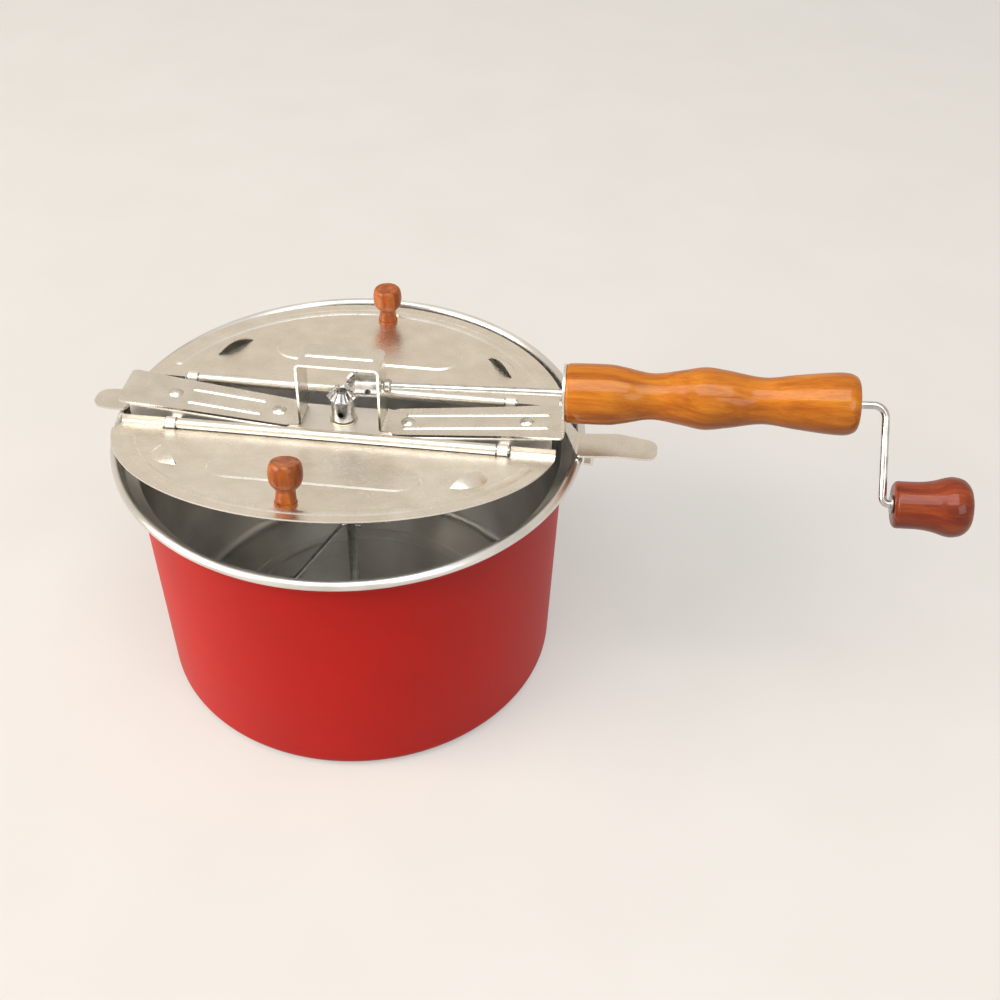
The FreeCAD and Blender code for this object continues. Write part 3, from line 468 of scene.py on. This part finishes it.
class Finish(Enum):
    """Every finish on the popper."""

    ENAMEL = BakedEnamel()
    SPUN = SpunAluminium()
    LID_SHEET = BrightSheet("bright_lid_sheet")
    FRAME_SHEET = BrightSheet("bright_frame_sheet", colour="E8E4DC", dark="DAD5CB", roughness=0.25,
                              wave_mm=22.0, wave_depth_mm=0.04)
    # The bar's sheet is the frame's sheet made rougher, with its colour painted lighter: painted brightness
    # that stands in for the light on the bar's front wall.
    BAR_SHEET = BrightSheet("satin_bar_sheet_painted_lighter", colour="F0EDE8", dark="E4E0D8", roughness=0.42,
                            wave_mm=22.0, wave_depth_mm=0.04)
    WIRE = PlatedMetal("drawn_bright_wire")
    WIRE_UP = PlatedMetal("drawn_bright_wire_upright", lines=Grain.ALONG_Z)
    GEAR = PlatedMetal("plated_cast_gear", colour="D8D8D9", dark="B4B4B6", roughness=0.27, line_mm=1.5,
                       depth_mm=0.03, lines=Grain.ALONG_Z)
    SMALL = PlatedMetal("zinc_plated_steel", colour="C6C6C2", dark="8F8E8A", roughness=0.2)
    RIVET = PlatedMetal("aluminium_rivet", colour="D5D1C8", dark="AFAAA0", roughness=0.2, line_mm=1.5)
    SCREW = PlatedMetal("oiled_black_screw", colour="4A4A4C", dark="262628", roughness=0.3)
    BUSH = PlatedMetal("turned_brass_bush", colour="D3CCBA", dark="B7AE97", roughness=0.27)
    HANDLE_WOOD = VarnishedWood("amber_varnished_wood", light="D58820", middle="C16E0D", deep="9E5206")
    KNOB_WOOD = VarnishedWood("red_brown_varnished_wood", light="C5752C", middle="A45218", deep="75330E",
                              lines=Grain.ALONG_Z)
    GRIP_WOOD = VarnishedWood("dark_red_varnished_wood", light="A04A1C", middle="842F0D", deep="5A1C07")

    def material(self) -> bpy.types.Material:
        """The finish's material, made once."""
        return bpy.data.materials.get(self.value.name) or self.value.build()


def dress(obj: bpy.types.Object, *finishes: Finish) -> bpy.types.Object:
    """Give an object its finishes in place of what it had."""
    obj.data.materials.clear()
    for finish in finishes:
        obj.data.materials.append(finish.material())
    return obj


def stand_for(obj: bpy.types.Object, body: str, slot: str, *nodes: str) -> bpy.types.Object:
    """Put a new piece on its body in place of solid nodes.

    Args:
        obj: The new piece.
        body: The body that it rides on.
        slot: The record's material slot; it is not used.
        *nodes: The nodes that it stands for.

    Returns:
        The same piece.
    """
    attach(obj, body)
    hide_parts(*nodes)
    log.info("%s rides on %s", obj.name, body)
    return obj


# Places that several pieces share, in millimetres


@dataclass(frozen=True)
class Layout:
    """Where the crank's axis runs, in millimetres and degrees. The axis meets the stirrer's at
    frame_x and apex_z and climbs towards the grip, and the arm hangs from it to one side."""

    frame_x: float = -3.5
    apex_z: float = 168.8
    crank_tilt: float = 2.83
    arm_swing: float = 41.3

    @property
    def along(self) -> Vector:
        """Direction of the crank's axis."""
        t = math.radians(self.crank_tilt)
        return Vector((math.cos(t), 0, math.sin(t)))

    @property
    def arm(self) -> Vector:
        """Direction of the crank arm."""
        t, s = math.radians(self.crank_tilt), math.radians(self.arm_swing)
        return Vector((math.sin(t) * math.cos(s), -math.sin(s), -math.cos(t) * math.cos(s)))

    def on_crank(self, distance: float, down: float = 0.0) -> Vector:
        """A point on the crank's axis, or below it along the arm."""
        return Vector((self.frame_x, 0, self.apex_z)) + self.along * distance + self.arm * down

    def crank_place(self, distance: float, down: float = 0.0) -> Matrix:
        """Placement whose Z runs along the crank's axis."""
        turn = Matrix.Rotation(math.radians(90.0 - self.crank_tilt), 4, "Y")
        return Matrix.Translation(self.on_crank(distance, down)) @ turn


LAYOUT = Layout()


# The pan


@dataclass
class Pan:
    """The spun pan, painted outside and bare inside."""

    base_r: float = 106.6
    top_r: float = 110.3
    wall: float = 1.6
    corner: float = 7.0
    step_z: float = 133.5
    step_rise: float = 3.6
    rim_r: float = 120.65
    bead_r: float = 2.5
    height: float = 145.4
    groove_r: float = 74.0
    groove_w: float = 9.0
    groove_depth: float = 0.9
    groove_side: float = 1.5
    groove_soft: float = 2.0
    step_soft: float = 3.1
    mouth_soft: float = 1.5
    bead_tuck: float = 1.6
    bead_lap: float = 1.0
    inner_rise: float = 1.0
    bead_from: float = -115.0
    bead_turn: float = 290.0
    bead_steps: int = 24
    arc_step: float = 7.0
    segments: int = 288

    def outside(self) -> Profile:
        """Painted side, from the base's centre up to the rolled rim."""
        low, high = self.groove_r - self.groove_w / 2, self.groove_r + self.groove_w / 2
        mouth = self.rim_r - 2 * self.bead_r + self.wall
        points = [(0, 0), (low, 0), (low + self.groove_side, self.groove_depth),
                  (high - self.groove_side, self.groove_depth), (high, 0),
                  (self.base_r, 0), (self.top_r, self.step_z), (mouth, self.step_z + self.step_rise),
                  (mouth, self.height - self.bead_r - self.bead_tuck)]
        radii = [0, *[self.groove_soft] * 4, self.corner, self.step_soft, self.mouth_soft, 0]
        return rounded(points, radii, self.arc_step)

    def bead(self) -> Profile:
        """Rolled rim, from the outside round to the inside."""
        centre, z = self.rim_r - self.bead_r, self.height - self.bead_r
        out = []
        for k in range(self.bead_steps + 1):
            a = math.radians(self.bead_from + k * self.bead_turn / self.bead_steps)
            out.append((centre + self.bead_r * math.cos(a), z + self.bead_r * math.sin(a)))
        return out

    def inside(self) -> Profile:
        """Bare side, from the rolled rim down to the base's centre."""
        low, high = self.groove_r - self.groove_w / 2, self.groove_r + self.groove_w / 2
        lean = (self.top_r - self.base_r) / self.step_z
        mouth = self.rim_r - 2 * self.bead_r
        points = [(mouth, self.height - self.bead_r - self.bead_lap),
                  (mouth, self.step_z + self.step_rise + self.inner_rise),
                  (self.top_r - self.wall, self.step_z + self.inner_rise),
                  (self.base_r - self.wall + lean * self.wall, self.wall), (high, self.wall),
                  (high - self.groove_side, self.wall + self.groove_depth),
                  (low + self.groove_side, self.wall + self.groove_depth),
                  (low, self.wall), (0, self.wall)]
        radii = [0, self.step_soft, self.mouth_soft, self.corner - self.wall,
                 *[self.groove_soft] * 4, 0]
        return rounded(points, radii, self.arc_step)

    def build(self) -> None:
        """Make and dress the pan."""
        outside, bead, inside = self.outside(), self.bead(), self.inside()
        verts, faces = lathe([*outside, *bead, *inside], self.segments)
        obj = crease(piece("pan_shell", verts, faces), TURNED_CREASE)
        dress(obj, Finish.ENAMEL, Finish.SPUN)
        # The first rings of faces are the painted outside, and the bead and inside stay bare.
        painted = (len(outside) - 1) * self.segments
        for face in obj.data.polygons:
            face.material_index = 0 if face.index < painted else 1
        stand_for(obj, "pan", "red_paint", "pan_body")


# Turned wood


@dataclass
class TurnedWood:
    """The turned handle and the crank grip."""

    handle_at: float = 113.12
    handle_len: float = 141.0
    handle_end_r: float = 15.2
    handle_neck_r: float = 11.4
    grip_at: float = 272.6
    grip_len: float = 36.6
    arm_len: float = 47.3
    rod_stop: float = 6.6
    bore_r: float = 1.98
    curve_steps: int = 7
    segments: int = 96

    def turn(self, name: str, profile: Sequence[Point], place: Matrix,
             depth: float | None = None) -> bpy.types.Object:
        """Turn a piece and bore it from its foot for the rod.

        Args:
            name: The piece's name.
            profile: Its side from foot to head.
            place: Where it stands.
            depth: Depth of the bore, or None where it goes right through.

        Returns:
            The new piece.
        """
        bore, foot, head = self.bore_r, profile[0][1], profile[-1][1]
        if depth is None:
            start, finish = [(bore, foot)], [(bore, head), (bore, foot)]
        else:
            start, finish = [(0.0, depth), (bore, depth), (bore, foot)], [(0.0, head)]
        verts, faces = lathe([*start, *spline(profile, self.curve_steps), *finish], self.segments)
        return crease(piece(name, verts, faces, place), TURNED_CREASE)

    def handle(self) -> None:
        """The long handle with three swellings. Its side is given as the share of its length and
        the radius there."""
        r, n = self.handle_end_r, self.handle_neck_r
        share = [(0.0, r - 1.4), (0.012, r - 0.5), (0.06, r - 0.25), (0.15, r - 0.3), (0.2, r - 1.3),
                 (0.3, n), (0.4, r - 1.8), (0.48, r + 0.1), (0.56, r - 1.2), (0.68, n), (0.79, r - 2.0),
                 (0.9, r - 0.3), (0.96, r - 0.1), (0.99, r - 1.6), (1.0, r - 3.6)]
        profile = [(radius, f * self.handle_len) for f, radius in share]
        obj = self.turn("handle_wood", profile, LAYOUT.crank_place(self.handle_at))
        stand_for(dress(obj, Finish.HANDLE_WOOD), "lid_frame", "amber_wood", "wood_handle")

    def grip(self) -> None:
        """The grip that spins on the crank."""
        end = self.grip_len
        profile = [(10.2, 0.0), (11.3, 1.2), (11.4, 0.12 * end), (11.5, 0.33 * end),
                   (12.4, 0.5 * end), (14.1, 0.66 * end), (14.5, 0.76 * end), (13.4, 0.88 * end),
                   (10.4, 0.965 * end), (6.4, end)]
        place = LAYOUT.crank_place(self.grip_at, self.arm_len)
        obj = self.turn("grip_wood", profile, place, end - self.rod_stop)
        stand_for(dress(obj, Finish.GRIP_WOOD), "grip", "grip_wood", "crank_grip")

    def build(self) -> None:
        """Make both pieces."""
        self.handle()
        self.grip()


# The studio


@dataclass(frozen=True)
class Lamp:
    """One soft square lamp: its place and side in metres, its power in watts, its colour."""

    name: str
    spot: tuple[float, float, float]
    size: float
    power: float
    colour: str


@dataclass
class Studio:
    """Floor, pale surroundings, lamps and the camera at the photograph's angle. The eye, lens
    and floor are in millimetres, the angles in degrees and the aim of the lamps in metres."""

    eye: tuple[float, float, float] = (127.84, -532.54, 557.53)
    yaw: float = 5.35
    elevation: float = 40.457
    roll: float = 1.472
    lens: float = 47.66
    sensor: float = 36.0
    floor_half: float = 6000.0
    floor_drop: float = 0.05
    floor_cloud: float = 12.0
    floor_hex: str = "DEDAD4"
    floor_shade: str = "D9D5CE"
    glow_hex: str = "EDEBE8"
    glow_share: float = 0.45
    bounce_hex: str = "6E5A46"
    soft_light: float = 0.38
    mirror_light: float = 0.95
    aim: tuple[float, float, float] = (0.03, 0.0, 0.1)
    lamps: tuple[Lamp, ...] = (Lamp("key", (-2.4, -1.2, 1.7), 2.2, 102.0, "FFF4E6"),
                               Lamp("top", (0.1, -0.85, 2.3), 1.8, 34.0, "FFFFFF"),
                               Lamp("fill", (1.5, -1.7, 1.25), 1.2, 12.0, "F8F8FF"))

    def camera(self) -> None:
        """Place the camera."""
        data = bpy.data.cameras.new("camera")
        data.lens = self.lens
        data.sensor_width = self.sensor
        data.clip_start, data.clip_end = 0.01, 50.0
        camera = bpy.data.objects.new("camera", data)
        bpy.context.scene.collection.objects.link(camera)
        turn = Matrix.Rotation(math.radians(self.yaw), 4, "Z")
        turn = turn @ Matrix.Rotation(math.radians(90.0 - self.elevation), 4, "X")
        turn = turn @ Matrix.Rotation(math.radians(self.roll), 4, "Z")
        camera.matrix_world = Matrix.Translation(Vector(self.eye) * MM) @ turn
        bpy.context.scene.camera = camera

    def floor(self) -> None:
        """A wide floor, pale to the camera and in shiny metal, which throws little light back."""
        half, z = self.floor_half, -self.floor_drop
        obj = piece("floor", [(-half, -half, z), (half, -half, z), (half, half, z), (-half, half, z)],
                    [(0, 1, 2, 3)], flat=True)
        material = bpy.data.materials.new("pale_floor")
        material.use_nodes = True
        tree = material.node_tree
        shader = tree.nodes["Principled BSDF"]
        where = add_node(tree, "TexCoord").outputs["Object"]
        speck = add_node(tree, "TexNoise", {"Vector": where, "Scale": self.floor_cloud, "Detail": 3.0})
        tint = ramp(tree, speck.outputs["Fac"], [(0.3, linear(self.floor_shade)),
                                                 (0.7, linear(self.floor_hex))])
        tree.links.new(tint, shader.inputs["Base Color"])
        shader.inputs["Roughness"].default_value = 0.85
        shader.inputs["Specular IOR Level"].default_value = 0.1
        rays = add_node(tree, "LightPath")
        mirrored = add_node(tree, "Math", {0: rays.outputs["Is Glossy Ray"],
                                           1: rays.outputs["Is Transmission Ray"]}, operation="MAXIMUM")
        seen = add_node(tree, "Math", {0: rays.outputs["Is Camera Ray"], 1: mirrored.outputs[0]},
                        operation="MAXIMUM")
        dim = add_node(tree, "BsdfDiffuse", {"Color": linear(self.bounce_hex)})
        glow = add_node(tree, "Emission", {"Color": linear(self.glow_hex), "Strength": 1.0})
        pale = add_node(tree, "MixShader", {0: self.glow_share, 1: shader.outputs[0], 2: glow.outputs[0]})
        both = add_node(tree, "MixShader", {0: seen.outputs[0], 1: dim.outputs[0], 2: pale.outputs[0]})
        tree.links.new(both.outputs[0], tree.nodes["Material Output"].inputs["Surface"])
        obj.data.materials.append(material)

    def world(self) -> None:
        """Pale surroundings, warm near the horizon, and white to the camera."""
        world = bpy.data.worlds.new("studio")
        bpy.context.scene.world = world
        world.use_nodes = True
        tree = world.node_tree
        tree.nodes.clear()
        rays = add_node(tree, "LightPath")
        seen = add_node(tree, "Math", {0: rays.outputs["Is Camera Ray"],
                                       1: rays.outputs["Is Transmission Ray"]}, operation="MAXIMUM")
        way = add_node(tree, "TexCoord").outputs["Generated"]
        height = add_node(tree, "SeparateXYZ", {"Vector": way}).outputs["Z"]
        sky = ramp(tree, height, [(0.0, linear("F6ECDE")), (0.3, linear("F3E8D9")), (0.6, linear("EBDFCF")),
                                  (0.85, linear("F2EEE8")), (1.0, linear("F8F7F5"))])
        around = add_node(tree, "Background", {"Color": sky, "Strength": self.soft_light})
        glossy = add_node(tree, "Background", {"Color": sky, "Strength": self.mirror_light})
        white = add_node(tree, "Background", {"Color": (1, 1, 1, 1), "Strength": 1.0})
        shiny = add_node(tree, "MixShader", {0: rays.outputs["Is Glossy Ray"], 1: around.outputs[0],
                                             2: glossy.outputs[0]})
        final = add_node(tree, "MixShader", {0: seen.outputs[0], 1: shiny.outputs[0], 2: white.outputs[0]})
        add_node(tree, "OutputWorld", {"Surface": final.outputs[0]})

    def hang(self, lamp: Lamp) -> None:
        """Hang a lamp that faces the popper."""
        data = bpy.data.lights.new(lamp.name, "AREA")
        data.shape = "SQUARE"
        data.size = lamp.size
        data.energy = lamp.power
        data.color = linear(lamp.colour)[:3]
        obj = bpy.data.objects.new(lamp.name, data)
        bpy.context.scene.collection.objects.link(obj)
        obj.location = lamp.spot
        obj.rotation_mode = "QUATERNION"
        obj.rotation_quaternion = (Vector(self.aim) - Vector(lamp.spot)).to_track_quat("-Z", "Y")

    def build(self) -> None:
        """Set up the studio."""
        self.camera()
        self.floor()
        self.world()
        for lamp in self.lamps:
            self.hang(lamp)
        bpy.context.scene.view_settings.view_transform = "Standard"


NODE_FINISH: dict[str, Finish] = {
    "cross_bar": Finish.BAR_SHEET, "gear_bracket": Finish.FRAME_SHEET, "bracket_rivets": Finish.RIVET,
    "clip_rivets": Finish.RIVET, "shaft_bush": Finish.BUSH, "front_hinge_wire": Finish.WIRE,
    "rear_hinge_wire": Finish.WIRE, "handle_screws": Finish.SMALL, "front_lid_leaf": Finish.LID_SHEET,
    "rear_lid_leaf": Finish.LID_SHEET, "front_lid_knob": Finish.KNOB_WOOD, "rear_lid_knob": Finish.KNOB_WOOD,
    "front_knob_screw": Finish.SMALL, "rear_knob_screw": Finish.SMALL, "crank_rod": Finish.WIRE,
    "crank_gear": Finish.GEAR, "crank_gear_screw": Finish.SCREW, "rod_collar": Finish.SMALL,
    "grip_washer": Finish.SMALL, "stirrer_shaft": Finish.WIRE_UP, "stirrer_gear": Finish.GEAR,
    "stirrer_gear_screw": Finish.SCREW, "shaft_keeper": Finish.SMALL, "sweep_wire": Finish.WIRE,
    "brace_wire": Finish.WIRE, "handle_side_clip": Finish.FRAME_SHEET, "far_side_clip": Finish.FRAME_SHEET}


def main() -> None:
    """Build the popper and its studio."""
    logging.basicConfig(level=logging.INFO, format="%(message)s")
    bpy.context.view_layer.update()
    Pan().build()
    TurnedWood().build()
    for name, finish in NODE_FINISH.items():
        dress(crease(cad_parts[name], SHEET_CREASE), finish)
    Studio().build()


if __name__ == "__main__":
    main()
